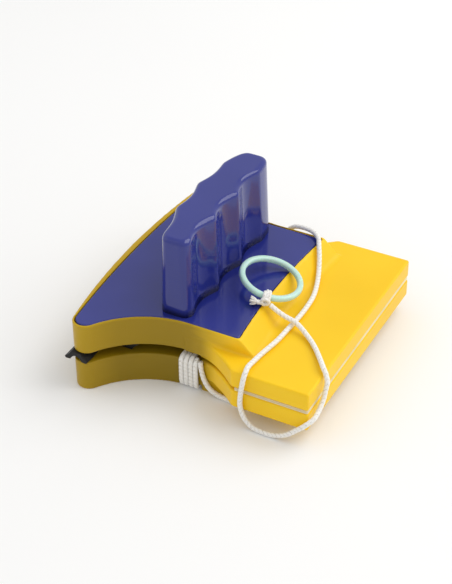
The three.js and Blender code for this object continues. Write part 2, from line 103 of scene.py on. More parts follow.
# The blade's rail, the slot in it, and the blade's own lips, in a unit's heights and from the blade's middle.
RAIL_TOP = 8.4
RAIL_HALF = 5
SLOT_HALF = 3.4
BLADE_REACH = -2.4
BLADE_LIP = 6.2
BLADE_ROOT = 2.6

# The channel across the outer unit's neck that the winding lies in.
CHANNEL_FLOOR = UNIT_TOP - 2.8
CHANNEL_HALF_Y = 60
CHANNEL_SIDE = 0.8

# Heights well past a unit's closing face and its top, for cuts that go right through.
PAST_FACE = -3
PAST_TOP = UNIT_TOP + 4

# The faces that each moulded shell keeps, and the angle in degrees from which its edges stay sharp.
HOUSING_FACES = 52000
PANEL_FACES = 26000
SHARP_ANGLE = 50

# Where the painted shade on the wing's wall fades: into the flare, on the rim and towards the wiper edge.
FLARE_X, FLARE_RUN = 14.0, 15.0
RIM_DEPTH = 1.2
TIP_X, TIP_RUN = -36.0, 14.0

GRIP_MID = np.array([-16.0, 0.3])
GRIP_HALF = 43.6
GRIP_PITCH = 23.4
GRIP_BOW_Y = 5.7
GROOVE_Y = -5.0
# Reach, bow, groove depth, and how squarely the side meets the near and the far end.
FINGER_SIDE = (10.3, 0.0, 3.6, 7.0, 5.5)
PALM_SIDE = (12.4, 4.6, 2.3, 4.0, 3.7)
# How far its top rounds over, and how far its walls lean in.
GRIP_ROUND = 2.8
GRIP_DRAFT = 1.2

CORD = 2.4
RING_RADIUS = 14.5
RING_TUBE = 1.5
RING_MID = np.array([16.2, -1.1, 41.6])
RING_AXES = np.array(Matrix.Rotation(math.radians(-2.6), 3, "X")
                     @ Matrix.Rotation(math.radians(15.3), 3, "Y"))
# Where on the ring its knot sits, in degrees, and how clear of the ring the knot's wraps stay.
KNOT_ANGLE = -72.5
KNOT_GAP = 0.07
# The spacing of the points along the cord and along the knots' strands.
PATH_STEP = 0.4
KNOT_STEP = 0.3

# The cord's middle: LEAD leaves the winding, passes under the neck and climbs the far wall; LINE goes on over
# the far rim, across the block and round it to the ring.
LEAD = [
    (2.5, -48.9, 18.6), (3, -49, 14.2), (4.6, -49.3, 9), (7.1, -49.4, 5), (10.6, -49.3, 2.5),
    (15.2, -49.2, 1.5), (20.6, -49.5, 1.4), (25.3, -49.2, 1.4), (28.6, -46.1, 1.4), (29.8, -40.8, 1.4),
    (30, -31, 1.4), (30.2, -11, 1.4), (30.2, 11, 1.4), (30, 31, 1.4), (29.8, 40, 1.4),
    (28.2, 45.8, 1.4), (24.6, 49.2, 1.4), (19.8, 50.4, 1.7), (14.2, 50.6, 2.9), (8.6, 50.5, 6.2),
    (4.9, 50.1, 11), (3.2, 49.6, 16.1), (2.2, 49.4, 20.6), (0.9, 49.3, 26), (0.2, 49.2, 30.5),
]
LINE = [
    (0.1, 49.2, 31.1), (0.3, 49.25, 32.8), (1.6, 49.4, 35.7), (5, 49.4, 38.4), (10, 49, 39.4),
    (15.6, 47.7, 39.6), (20.6, 43.4, 39.8), (23.6, 38, 38.9), (26.2, 33, 36.6), (28.6, 27.6, 33.5),
    (31.6, 19.5, 31.6), (34.8, 8, 31.3), (35.8, -2.9, 31.3), (35.8, -12, 31.3), (35.3, -21, 31.3),
    (34.6, -32, 31.3), (32.8, -43, 31.3), (32, -51, 31.6), (32.1, -57, 32.5), (32.4, -60, 31.75),
    (32.4, -62.15, 29.6), (32.1, -62.9, 26.6), (31, -62.4, 20), (30.5, -62, 12.4), (32.4, -62, 6.2),
    (36.4, -62.3, 2.4), (42, -62.5, 1.4), (48, -62.4, 1.6), (54, -62.3, 4), (59.6, -62.3, 9),
    (63.8, -62, 13.2), (66.6, -58.6, 15.7), (66.9, -53.6, 17.4), (66.9, -49.2, 20.4),
    (66.9, -46.9, 24.6), (66.9, -45.4, 27.9), (65.5, -43.8, 30.7), (62.8, -41.2, 32.1),
    (57.4, -34.2, 31.6), (51.6, -27.4, 31.3), (44.6, -21.6, 31.9), (37.8, -18.4, 33.9),
    (31.6, -17.8, 35.2), (27.2, -17.6, 37), (23.7, -17.4, 38.9),
]


# ---------- camera ----------
# Its place in metres, its azimuth, elevation and roll in degrees, and its lens in millimetres.
CAMERA_PLACE = (0.28229, -0.5476, 0.47825)
CAMERA_ANGLES = (28.04, 36.2, -0.51)
LENS, SENSOR_WIDTH = 95.0, 36.0


def add_camera():
    """Looks down on the object from its front right."""
    azimuth, elevation, roll = (math.radians(angle) for angle in CAMERA_ANGLES)
    forward = Vector((-math.sin(azimuth) * math.cos(elevation),
                      math.cos(azimuth) * math.cos(elevation), -math.sin(elevation)))
    level = forward.cross(Vector((0, 0, 1))).normalized()
    upright = level.cross(forward)
    right = level * math.cos(roll) + upright * math.sin(roll)
    up = upright * math.cos(roll) - level * math.sin(roll)
    data = bpy.data.cameras.new("camera")
    data.lens = LENS
    data.sensor_width = SENSOR_WIDTH
    camera = bpy.data.objects.new("camera", data)
    axes = Matrix((right, up, -forward)).transposed().to_4x4()
    camera.matrix_world = Matrix.Translation(CAMERA_PLACE) @ axes
    bpy.context.collection.objects.link(camera)
    bpy.context.scene.camera = camera


# ---------- mesh helpers ----------
def make_object(name, points, faces, material, sharp_angle=None):
    """A smooth-shaded mesh object from points in millimetres and faces as rows of indices."""
    mesh = bpy.data.meshes.new(name)
    mesh.from_pydata((np.asarray(points, float) * MM).tolist(), [], [list(map(int, f)) for f in faces])
    mesh.validate()
    mesh.shade_smooth()
    if sharp_angle is not None:
        mesh.set_sharp_from_angle(angle=math.radians(sharp_angle))
    mesh.materials.append(material)
    piece = bpy.data.objects.new(name, mesh)
    bpy.context.collection.objects.link(piece)
    return piece


def apply_modifiers(piece):
    """Writes the evaluated mesh back into the piece and drops its modifiers."""
    bpy.context.view_layer.update()
    evaluated = piece.evaluated_get(bpy.context.evaluated_depsgraph_get())
    mesh = bpy.data.meshes.new_from_object(evaluated)
    piece.modifiers.clear()
    piece.data = mesh


def even_normals(piece, weight, keep_sharp=False):
    """Lets a piece's large faces lead its shading, so that flat walls look flat."""
    even = piece.modifiers.new("even", "WEIGHTED_NORMAL")
    even.weight, even.keep_sharp = weight, keep_sharp
    apply_modifiers(piece)


def place(piece, body, slot, *nodes):
    """The piece rides on a body and stands for CAD nodes; its slot argument is not used."""
    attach(piece, body)
    if nodes:
        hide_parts(*nodes)
    return piece


def tube_faces(rings, around):
    """Quads between consecutive rings of equal size, closed round each ring."""
    ring, step = np.meshgrid(np.arange(rings - 1), np.arange(around), indexing="ij")
    a = ring * around + step
    b = ring * around + (step + 1) % around
    return np.stack([a, b, b + around, a + around], -1).reshape(-1, 4).tolist()


def loft(rings):
    """Points and faces of a closed solid through rings that turn anticlockwise, seen from the last one."""
    around = len(rings[0])
    last = (len(rings) - 1) * around
    faces = tube_faces(len(rings), around)
    faces.append(list(range(around))[::-1])
    faces.append(list(range(last, last + around)))
    return np.concatenate(rings), faces


# ---------- outlines ----------
def arc(centre, radius, start, end, count=60):
    """Points round part of a circle, between two angles in radians."""
    turn = np.linspace(start, end, count)
    return np.stack([centre[0] + radius * np.cos(turn), centre[1] + radius * np.sin(turn)], -1)


def quadratic(a, b, c, count=14):
    """Points on the curve from a to c that bends towards b."""
    t = np.linspace(0, 1, count)[:, None]
    return (1 - t) ** 2 * np.array(a) + 2 * t * (1 - t) * np.array(b) + t * t * np.array(c)


def wing_outline(wide_inset, side_inset, corner, wide_radius, end):
    """Half the wing from the neck to the wiper edge, mirrored, and closed by the points of end.

    The corner's circle touches the side's arc from outside and the wiper edge's arc from inside.
    """
    wide_centre = np.array([WIDE_X + wide_inset + wide_radius, 0.0])
    side_radius = WAIST_RADIUS + side_inset
    waist = WAIST * (1, -1)
    between = wide_centre - waist
    distance = np.hypot(*between)
    reach = (side_radius + corner, wide_radius - corner)
    along = (reach[0] ** 2 - reach[1] ** 2 + distance**2) / (2 * distance)
    across = math.sqrt(reach[0] ** 2 - along**2)
    foot = waist + between * along / distance
    side = np.array([-between[1], between[0]]) * across / distance
    corner_centre = min(foot + side, foot - side, key=lambda p: p[0])
    from_waist = math.atan2(*(corner_centre - waist)[::-1])
    from_wide = math.atan2(*(corner_centre - wide_centre)[::-1])
    half = np.concatenate([
        arc(waist, side_radius, math.pi / 2, from_waist, 90),
        arc(corner_centre, corner, from_waist + math.pi, from_wide + 2 * math.pi, 40)[1:],
        arc(wide_centre, wide_radius, from_wide + 2 * math.pi, math.pi, 60)[1:],
    ])
    mirrored = half[-2::-1] * (1, -1)
    return np.concatenate([half, mirrored, end(-waist[1] - side_radius)])[::-1]


def flat_end(x):
    """Closes a wing outline straight across at x."""
    return lambda half: np.array([[x, half], [x, -half]])


def bowed_end(inset, corner=2.0):
    """Closes a wing outline along the panel's bowed edge, with rounded corners."""
    def points(half):
        centre_x = PANEL_EDGE_X + PANEL_EDGE_RADIUS
        radius = PANEL_EDGE_RADIUS + inset
        spread = math.asin((half - corner) / radius)
        tip = centre_x - radius * math.cos(math.asin(half / radius))
        bend = quadratic((tip - corner, half), (tip, half),
                         (centre_x - radius * math.cos(spread), half - corner))
        bow = arc((centre_x, 0), radius, math.pi - spread, math.pi + spread)
        return np.concatenate([bend, bow[1:-1], bend[::-1] * (1, -1)])
    return points


def panel_outline(inset):
    wide, side = PANEL_INSET
    return wing_outline(wide + inset, side + inset, PANEL_CORNER, PANEL_WIDE_RADIUS, bowed_end(inset))


def block_outline(inset, left):
    """The block's plan from left to its free side."""
    right, half = BLOCK_RIGHT - inset, BLOCK_HALF_Y - inset
    r = max(BLOCK_CORNER - inset, 0.6)
    return np.concatenate([
        [[left + inset, -half]],
        arc((right - r, -half + r), r, -math.pi / 2, 0, 10),
        arc((right - r, half - r), r, 0, math.pi / 2, 10),
        [[left + inset, half]],
    ])


def flared_block_outline():
    """The block's plan with the flares that run from its shoulders into the neck."""
    neck = WAIST[1] - WAIST_RADIUS
    left, half = BLOCK_LEFT, BLOCK_HALF_Y
    shoulder = quadratic((left, half), (left - 1.5, half), (left - 3, half - 1.5))
    flare = quadratic((left - 3, half - 1.5), (11, neck + 1.2), (3, neck), 30)
    far_side = np.concatenate([shoulder, flare[1:], [[-6, neck]]])
    return np.concatenate([block_outline(0, left), far_side, far_side[::-1] * (1, -1)])


# ---------- moulded shells from distance fields ----------
def outline_distance(outline, x, y):
    """Signed distance to a closed outline, negative inside."""
    nearest = np.full(x.shape, 1e9)
    inside = np.zeros(x.shape, bool)
    for a, b in zip(outline, np.roll(outline, -1, 0)):
        edge = b - a
        length = edge @ edge
        if length < 1e-12:
            continue
        t = np.clip(((x - a[0]) * edge[0] + (y - a[1]) * edge[1]) / length, 0, 1)
        nearest = np.minimum(nearest, (x - a[0] - t * edge[0]) ** 2 + (y - a[1] - t * edge[1]) ** 2)
        spans = (a[1] <= y) != (b[1] <= y)
        if spans.any():
            inside ^= spans & (x < a[0] + (y - a[1]) / (b[1] - a[1] if b[1] != a[1] else 1) * edge[0])
    return np.where(inside, -1, 1) * np.sqrt(nearest)


def smooth_max(a, b, k):
    """The larger of two fields, blended where they differ by less than k."""
    h = np.clip(0.5 + 0.5 * (a - b) / k, 0, 1)
    return b + (a - b) * h + k * h * (1 - h)


def smooth_min(a, b, k):
    return -smooth_max(-a, -b, k)


class Field:
    """A grid of signed distances in millimetres that shells are carved from."""

    PULL = 0.12
    MOST_SHIFT = 0.7

    def __init__(self, low, high, step):
        self.low, self.step = np.array(low, float), step
        axes = [np.arange(l, h + step, step) for l, h in zip(low, high)]
        self.x, self.y = np.meshgrid(axes[0], axes[1], indexing="ij")
        self.z = axes[2][None, None, :]
        self.value = None

    def slab(self, outline, low, high, round_edge=0.0):
        """An upright prism over an outline, with rounded edges."""
        plan = outline_distance(outline, self.x, self.y)[:, :, None] + round_edge
        height = np.abs(self.z - (low + high) / 2) - (high - low) / 2 + round_edge
        outside = np.hypot(np.maximum(plan, 0), np.maximum(height, 0))
        return np.minimum(np.maximum(plan, height), 0) + outside - round_edge

    def box(self, x0, x1, y0, y1, z0, z1):
        gap = np.maximum(np.abs(self.x - (x0 + x1) / 2) - (x1 - x0) / 2,
                         np.abs(self.y - (y0 + y1) / 2) - (y1 - y0) / 2)[:, :, None]
        return np.maximum(gap, np.abs(self.z - (z0 + z1) / 2) - (z1 - z0) / 2)

    def post(self, x, y, radius, z0, z1):
        gap = (np.hypot(self.x - x, self.y - y) - radius)[:, :, None]
        return np.maximum(gap, np.abs(self.z - (z0 + z1) / 2) - (z1 - z0) / 2)

    def add(self, other, soft=0.0):
        self.value = smooth_min(self.value, other, soft) if soft else np.minimum(self.value, other)

    def cut(self, other, soft=0.0):
        self.value = smooth_max(self.value, -other, soft) if soft else np.maximum(self.value, -other)

    def slope(self):
        """Unit outward direction at every grid point, one array per axis."""
        parts = np.gradient(self.value.astype(np.float32))
        size = np.sqrt(sum(part * part for part in parts)) + 1e-9
        return [part / size for part in parts]

    def surface(self):
        """The zero surface as points and quads: one point in each grid cell that the surface crosses.

        Each point is the least-squares meeting of the tangent planes at its cell's crossings, which keeps
        edges crisp. PULL draws it towards their middle, and MOST_SHIFT caps how far it goes, in grid steps.
        """
        value, slope = self.value, self.slope()
        shape = value.shape
        cells, points, normals, quads = [], [], [], []
        for axis in range(3):
            other = [(axis + 1) % 3, (axis + 2) % 3]
            first = [slice(1, -1)] * 3
            second = [slice(1, -1)] * 3
            first[axis], second[axis] = slice(0, -1), slice(1, None)
            a, b = value[tuple(first)], value[tuple(second)]
            start = np.argwhere((a < 0) != (b < 0))
            va, vb = a[tuple(start.T)], b[tuple(start.T)]
            share = va / (va - vb)
            start[:, other] += 1
            finish = start.copy()
            finish[:, axis] += 1
            point = start.astype(float)
            point[:, axis] += share
            normal = np.stack([part[tuple(start.T)] * (1 - share) + part[tuple(finish.T)] * share
                               for part in slope], -1)
            normal /= np.linalg.norm(normal, axis=1)[:, None] + 1e-9
            corners = []
            for du, dv in ((0, 0), (1, 0), (1, 1), (0, 1)):
                cell = start.copy()
                cell[:, other[0]] -= du
                cell[:, other[1]] -= dv
                corners.append(np.ravel_multi_index(tuple(cell.T), shape))
                points.append(point)
                normals.append(normal)
            cells += corners
            quad = np.stack(corners, -1)
            quad[va > vb] = quad[va > vb][:, ::-1]
            quads.append(quad)
        used, cell = np.unique(np.concatenate(cells), return_inverse=True)
        points, normals = np.concatenate(points), np.concatenate(normals)

        def total(weights):
            return np.bincount(cell, weights, len(used))

        count = total(np.ones(len(cell)))
        middle = np.stack([total(points[:, k]) / count for k in range(3)], -1)
        offset = np.einsum("ij,ij->i", normals, points - middle[cell])
        matrix = np.array([[total(normals[:, i] * normals[:, j]) for j in range(3)] for i in range(3)])
        matrix = matrix.transpose(2, 0, 1) + self.PULL * np.eye(3)
        side = np.stack([total(normals[:, k] * offset) for k in range(3)], -1)
        shift = np.linalg.solve(matrix, side[:, :, None])[:, :, 0]
        spots = middle + np.clip(shift, -self.MOST_SHIFT, self.MOST_SHIFT)
        return spots * self.step + self.low, np.searchsorted(used, np.concatenate(quads))


def shell_object(name, field, material, keep_faces, is_outer):
    """The field's surface as a light, evenly shaded mesh in the frame; the outer unit's is turned over."""
    points, quads = field.surface()
    points[:, 2] = np.minimum(points[:, 2], UNIT_TOP)
    if is_outer:
        points = points * (1, -1, -1)
    piece = make_object(name, points + (0, 0, MID_Z), quads, material)
    thin = piece.modifiers.new("thin", "DECIMATE")
    thin.ratio = min(1.0, keep_faces / (2 * len(quads)))
    apply_modifiers(piece)
    piece.data.set_sharp_from_angle(angle=math.radians(SHARP_ANGLE))
    even_normals(piece, 80, keep_sharp=True)
    return piece


def mark_painted_shade(piece):
    """Writes how much painted shade the wall takes, for the darker look of the wing's thin walls in shade,
    with nothing close behind them.

    It is full on the wing, fades out at the flare, and is a little less on the rim, towards the wiper edge
    and on the upper unit.
    """
    mesh = piece.data
    spots = np.zeros(len(mesh.vertices) * 3, np.float32)
    mesh.vertices.foreach_get("co", spots)
    x, _, z = spots.reshape(-1, 3).T / MM
    along = np.clip((FLARE_X - x) / FLARE_RUN, 0, 1)
    along = along * along * (3 - 2 * along)
    below_rim = np.clip((UNIT_TOP - np.abs(z - MID_Z)) / RIM_DEPTH, 0, 1)
    edge = np.clip((TIP_X - x) / TIP_RUN, 0, 1)
    unit = np.where(z < MID_Z, 1.0, 0.9)
    painted_shade = along * (0.82 + 0.18 * below_rim) * (1 - 0.2 * edge) * unit
    layer = mesh.attributes.new("painted_shade", "FLOAT", "POINT")
    layer.data.foreach_set("value", painted_shade.astype(np.float32))


def winding_box(field, x_margin, half_y, low, high):
    """A box across the neck, x_margin wider than the winding on each side."""
    return field.box(WINDING_LOW[0] - x_margin, WINDING_HIGH[0] + x_margin, -half_y, half_y, low, high)


def cut_channel(field):
    """Clears the winding's channel."""
    field.cut(winding_box(field, CHANNEL_SIDE, CHANNEL_HALF_Y, CHANNEL_FLOOR, PAST_TOP), 0.8)


def housing(name, is_outer, step):
    """A unit's shell: the waisted wing, the ramp down to the block, and what is hollowed out of them."""
    field = Field((WIDE_X - 3, -76, BLOCK_FACE - 2), (BLOCK_RIGHT + 2, 76, UNIT_TOP + 2), step)
    wing = field.slab(wing_outline(0, 0, WING_CORNER, WIDE_RADIUS, flat_end(34)),
                      WING_FLOOR, UNIT_TOP, 0.6)
    past_edge = PANEL_EDGE_RADIUS - RAMP_START - np.hypot(field.x - PANEL_EDGE_X - PANEL_EDGE_RADIUS, field.y)
    drop = UNIT_TOP - BLOCK_TOP
    above_ramp = (field.z - UNIT_TOP) * RAMP_RUN + past_edge[:, :, None] * drop
    wing = smooth_max(wing, above_ramp / math.hypot(RAMP_RUN, drop), 1.2)
    block = field.slab(flared_block_outline(), BLOCK_FACE, BLOCK_TOP, 1.1)
    under_wing = field.slab(wing_outline(-3, -3, WING_CORNER, WIDE_RADIUS, flat_end(2)),
                            PAST_FACE, WING_FLOOR)
    field.value = smooth_min(wing, smooth_max(block, -under_wing, 0.4), 1.6)

    # The hollows in the wing and the block, the blade's rail and slot, and the panel's seat.
    blade_low, blade_high = node_box(("outer" if is_outer else "inner") + "_blade_rail")
    blade_x, slot_end = (blade_low[0] + blade_high[0]) / 2, blade_high[1] + SEAM
    field.cut(field.slab(wing_outline(7, 3.6, PANEL_CORNER, WIDE_RADIUS, bowed_end(3, 4)),
                         WING_FLOOR + WALL, UNIT_TOP))
    field.cut(field.slab(block_outline(WALL, BLOCK_LEFT + 2), PAST_FACE, BLOCK_TOP - WALL))
    field.add(field.box(blade_x - RAIL_HALF, blade_x + RAIL_HALF, -slot_end - 1.6, slot_end + 1.6,
                        WING_FLOOR + 0.5, RAIL_TOP + 1.8))
    field.cut(field.box(blade_x - SLOT_HALF, blade_x + SLOT_HALF, -slot_end, slot_end,
                        PAST_FACE, RAIL_TOP + SEAM))
    field.cut(field.slab(panel_outline(-SEAM), PANEL_TOP - PANEL_THICK - SEAM, PAST_TOP), 0.2)
    for x, y in CASE_SCREWS:
        field.cut(field.post(x, y, SCREW_HOLE, PAST_FACE, UNIT_TOP))
        field.cut(field.post(x, y, SCREW_HEAD, PAST_FACE, WING_FLOOR + 1.2))
    if is_outer:
        cut_channel(field)
    piece = shell_object(name, field, YELLOW, HOUSING_FACES, is_outer)
    # Paints shade on the wing's walls.
    mark_painted_shade(piece)
    return piece


def cover_panel(name, is_outer, step):
    """The glossy panel over the wing, with its screw bosses."""
    low = PANEL_TOP - PANEL_THICK
    field = Field((WIDE_X, -74, 4.5), (PANEL_EDGE_X + 6, 74, UNIT_TOP + 1.5), step)
    field.value = field.slab(panel_outline(0), low, PANEL_TOP, 0.5)
    for x, y in CASE_SCREWS:
        field.add(field.post(x, y, SCREW_BOSS, WING_FLOOR + WALL + SEAM, PANEL_TOP - 0.6), 0.6)
        field.cut(field.post(x, y, SCREW_HOLE, 0, PANEL_TOP - 2.2))
    if is_outer:
        field.add(winding_box(field, 2.3, 45.6, CHANNEL_FLOOR - PANEL_THICK, PANEL_TOP - 0.4), 0.4)
        cut_channel(field)
    return shell_object(name, field, BLUE, PANEL_FACES, is_outer)


# ---------- the finger grip ----------
def grip_side(profile, y):
    """Reach of one side: a bowed face with three scallops between narrow rounded lobes."""
    reach, bow, groove = profile[:3]
    lobe = 0.12
    turns = np.minimum(np.abs(y - GROOVE_Y) / GRIP_PITCH, 1.5)
    wave = np.hypot(np.cos(np.pi * turns), lobe) - lobe
    return reach - bow * ((y - GRIP_BOW_Y) / GRIP_HALF) ** 2 - groove * wave


def grip_ring(inset, z, stations=130):
    """The grip's outline at a height: both sides from the near end to the far end and back."""
    points = []
    for side, profile in ((1, FINGER_SIDE), (-1, PALM_SIDE)):
        share = side * np.sin(np.pi * (np.arange(stations) / stations - 0.5))
        power = np.where(share < 0, *profile[3:])
        end = (1 - np.abs(share) ** power) ** (1 / power)
        x = side * (grip_side(profile, share * GRIP_HALF) - inset) * end
        points.append(np.stack([x, share * (GRIP_HALF - inset), np.full(stations, z)], -1))
    return np.concatenate(points) + (*GRIP_MID, 0)


def grip():
    """The finger grip: walls that lean in as they rise, and a rounded top."""
    low, high = GRIP_LOW[2] - 0.8 * SEAM, GRIP_HIGH[2]
    rings = [grip_ring(-GRIP_DRAFT, low)]
    wall = np.linspace(0, 1, 9)[1:]
    rings += [grip_ring(-GRIP_DRAFT * (1 - t), low + t * (high - GRIP_ROUND - low)) for t in wall]
    for turn in np.linspace(0, math.pi / 2, 9)[1:]:
        rings.append(grip_ring(GRIP_ROUND * (1 - math.cos(turn)), high - GRIP_ROUND * (1 - math.sin(turn))))
    piece = make_object("grip_shell", *loft(rings), BLUE)
    even_normals(piece, 60)
    return place(piece, "inner_unit", "blue_plastic", "grip_handle")


# ---------- cords ----------
# The braid's pitch in diameters, its relief in radii, and the height on its strands that keeps the radius.
BRAID_PITCH = 0.95
BRAID_RELIEF = 0.1
BRAID_LEVEL = 0.55


def spline(points, step):
    """Evenly spaced points on the centripetal Catmull-Rom curve through points."""
    p = np.array(points, float)
    p = np.concatenate([[2 * p[0] - p[1]], p, [2 * p[-1] - p[-2]]])
    knots = np.linalg.norm(np.diff(p, axis=0), axis=1) ** 0.5
    dense = [p[1]]
    t = np.linspace(0, 1, 41)[1:, None]
    for i in range(1, len(p) - 2):
        d0, d1, d2 = knots[i - 1], knots[i], knots[i + 1]
        a = (p[i] - p[i - 1]) / d0 - (p[i + 1] - p[i - 1]) / (d0 + d1) + (p[i + 1] - p[i]) / d1
        b = (p[i + 1] - p[i]) / d1 - (p[i + 2] - p[i]) / (d1 + d2) + (p[i + 2] - p[i + 1]) / d2
        a, b = a * d1, b * d1
        dense.extend((2 * t**3 - 3 * t**2 + 1) * p[i] + (t**3 - 2 * t**2 + t) * a
                     + (3 * t**2 - 2 * t**3) * p[i + 1] + (t**3 - t**2) * b)
    dense = np.array(dense)
    travelled = np.concatenate([[0], np.cumsum(np.linalg.norm(np.diff(dense, axis=0), axis=1))])
    even = np.linspace(0, travelled[-1], max(2, round(travelled[-1] / step)) + 1)
    return np.stack([np.interp(even, travelled, dense[:, k]) for k in range(3)], -1)


def braided_tube(name, path, radius, around=16):
    """A round braid of the white cord along a path: strands lean both ways and stand proud of the grooves."""
    tangent = np.gradient(path, axis=0)
    tangent /= np.linalg.norm(tangent, axis=1)[:, None]
    normal = np.cross(tangent[0], (0, 0, 1) if abs(tangent[0][2]) < 0.9 else (1, 0, 0))
    frames = []
    for t in tangent:
        normal = normal - t * (normal @ t)
        normal = normal / np.linalg.norm(normal)
        frames.append(normal)
    normal = np.array(frames)
    binormal = np.cross(tangent, normal)
    travelled = np.concatenate([[0], np.cumsum(np.linalg.norm(np.diff(path, axis=0), axis=1))])
    turn = np.arange(around) * 2 * np.pi / around
    lean = np.abs((turn / np.pi * 2) % 2 - 1)
    phase = 2 * np.pi * (travelled[:, None] / (BRAID_PITCH * 2 * radius) + lean[None, :] * 0.75)
    seam = 1 - 0.35 * (1 - np.abs(np.sin(turn * 2)))[None, :] ** 4
    height = np.abs(np.sin(phase / 2)) ** 0.7 * seam
    spread = radius * (1 + BRAID_RELIEF * (height - BRAID_LEVEL))
    outward = (np.cos(turn)[None, :, None] * normal[:, None, :]
               + np.sin(turn)[None, :, None] * binormal[:, None, :])
    piece = make_object(name, *loft(path[:, None, :] + spread[..., None] * outward), WHITE_CORD)
    shade = piece.data.attributes.new("strand", "FLOAT", "POINT")
    shade.data.foreach_set("value", height.reshape(-1).astype(np.float32))
    return piece


# ---------- materials ----------
# The span that most of a noise texture's values fall in.
NOISE_LOW, NOISE_HIGH = 0.3, 0.7


def new_material(name):
    """A material with its nodes, its links and its shader."""
    material = bpy.data.materials.new(name)
    material.use_nodes = True
    nodes = material.node_tree.nodes
    return material, nodes, material.node_tree.links, nodes["Principled BSDF"]


def noise(nodes, links, scale, detail=3.0, roughness=0.5, stretch=(1, 1, 1)):
    """Noise fixed to the object; scale counts its features in a metre."""
    coordinates = nodes.new("ShaderNodeTexCoord")
    mapping = nodes.new("ShaderNodeMapping")
    mapping.inputs["Scale"].default_value = stretch
    texture = nodes.new("ShaderNodeTexNoise")
    texture.inputs["Scale"].default_value = scale
    texture.inputs["Detail"].default_value = detail
    texture.inputs["Roughness"].default_value = roughness
    links.new(coordinates.outputs["Object"], mapping.inputs["Vector"])
    links.new(mapping.outputs["Vector"], texture.inputs["Vector"])
    return texture.outputs["Fac"]


def ramp(nodes, links, source, stops):
    """A colour from a value, between stops of position and colour."""
    node = nodes.new("ShaderNodeValToRGB")
    elements = node.color_ramp.elements
    while len(elements) < len(stops):
        elements.new(0.5)
    for element, (position, color) in zip(elements, stops):
        element.position = position
        element.color = (*color, 1)
    links.new(source, node.inputs["Fac"])
    return node.outputs["Color"]


def drifting(nodes, links, source, dark, light):
    """A colour that drifts between two as a noise does."""
    return ramp(nodes, links, source, [(NOISE_LOW, dark), (NOISE_HIGH, light)])


def to_range(nodes, links, source, low, high):
    """A number that drifts between low and high as a noise does."""
    node = nodes.new("ShaderNodeMapRange")
    node.inputs["From Min"].default_value = NOISE_LOW
    node.inputs["From Max"].default_value = NOISE_HIGH
    node.inputs["To Min"].default_value = low
    node.inputs["To Max"].default_value = high
    links.new(source, node.inputs["Value"])
    return node.outputs["Result"]


def bump(nodes, links, source, distance, strength=1.0, after=None):
    """A normal that source raises by distance in metres, on top of the bump before it."""
    node = nodes.new("ShaderNodeBump")
    node.inputs["Strength"].default_value = strength
    node.inputs["Distance"].default_value = distance
    links.new(source, node.inputs["Height"])
    if after is not None:
        links.new(after, node.inputs["Normal"])
    return node.outputs["Normal"]


def mixed(nodes, links, kind, factor, a, b):
    """Two colours mixed; factor is a number or a socket."""
    mix = nodes.new("ShaderNodeMix")
    mix.data_type = "RGBA"
    mix.blend_type = kind
    if isinstance(factor, float):
        mix.inputs["Factor"].default_value = factor
    else:
        links.new(factor, mix.inputs["Factor"])
    links.new(a, mix.inputs["A"])
    links.new(b, mix.inputs["B"])
    return mix.outputs["Result"]


def moulded(name, dark, light, roughness, ripple, glow=0.0, gloss=0.5, painted_shade=None):
    """Injection-moulded plastic: slight colour drift, a faint grain and slow ripples in its gloss.

    The last pair of colours is painted shade, the darker look of the wing's walls in shade, mixed in where
    the shell marks it.
    """
    material, nodes, links, shader = new_material(name)
    drift = noise(nodes, links, 22, 2)
    color = drifting(nodes, links, drift, dark, light)
    if painted_shade:
        # Painted shade: the darker wall colours, mixed in where the shell marks it.
        wall = nodes.new("ShaderNodeAttribute")
        wall.attribute_name = "painted_shade"
        thin = drifting(nodes, links, drift, *painted_shade)
        color = mixed(nodes, links, "MIX", wall.outputs["Fac"], color, thin)
    links.new(color, shader.inputs["Base Color"])
    grain = noise(nodes, links, 900, 2)
    links.new(to_range(nodes, links, grain, *roughness), shader.inputs["Roughness"])
    slow = noise(nodes, links, 45, 1)
    waves = bump(nodes, links, slow, ripple)
    links.new(bump(nodes, links, grain, 0.00001, 0.25, waves), shader.inputs["Normal"])
    shader.inputs["Specular IOR Level"].default_value = gloss
    if glow:
        shader.inputs["Subsurface Weight"].default_value = glow
        shader.inputs["Subsurface Radius"].default_value = (0.004, 0.0025, 0.0008)
        shader.inputs["Subsurface Scale"].default_value = 0.6
    return material


def cord_material():
    """White braid with painted shade: bright on its strands, greyer in the grooves between them."""
    material, nodes, links, shader = new_material("braided_cord")
    strand = nodes.new("ShaderNodeAttribute")
    strand.attribute_name = "strand"
    color = ramp(nodes, links, strand.outputs["Fac"],
                 [(0.05, (0.58, 0.55, 0.50)), (0.4, (0.90, 0.88, 0.84)), (1.0, (0.97, 0.96, 0.94))])
    fibres = noise(nodes, links, 2600, 2)
    dirt = ramp(nodes, links, fibres, [(0.35, (0.86, 0.86, 0.84)), (0.6, (1, 1, 1))])
    links.new(mixed(nodes, links, "MULTIPLY", 1.0, color, dirt), shader.inputs["Base Color"])
    shader.inputs["Roughness"].default_value = 0.75
    shader.inputs["Sheen Weight"].default_value = 0.3
    shader.inputs["Specular IOR Level"].default_value = 0.25
    links.new(bump(nodes, links, fibres, 0.00012, 0.6), shader.inputs["Normal"])
    return material


def felt_material():
    """Tufted cream felt with soft stains."""
    material, nodes, links, shader = new_material("cleaning_felt")
    tufts = noise(nodes, links, 1100, 5, 0.7)
    stain = noise(nodes, links, 60, 3)
    links.new(drifting(nodes, links, stain, (0.82, 0.70, 0.44), (0.92, 0.82, 0.58)),
              shader.inputs["Base Color"])
    shader.inputs["Roughness"].default_value = 0.95
    shader.inputs["Sheen Weight"].default_value = 0.4
    links.new(bump(nodes, links, tufts, 0.0004, 0.9), shader.inputs["Normal"])
    return material


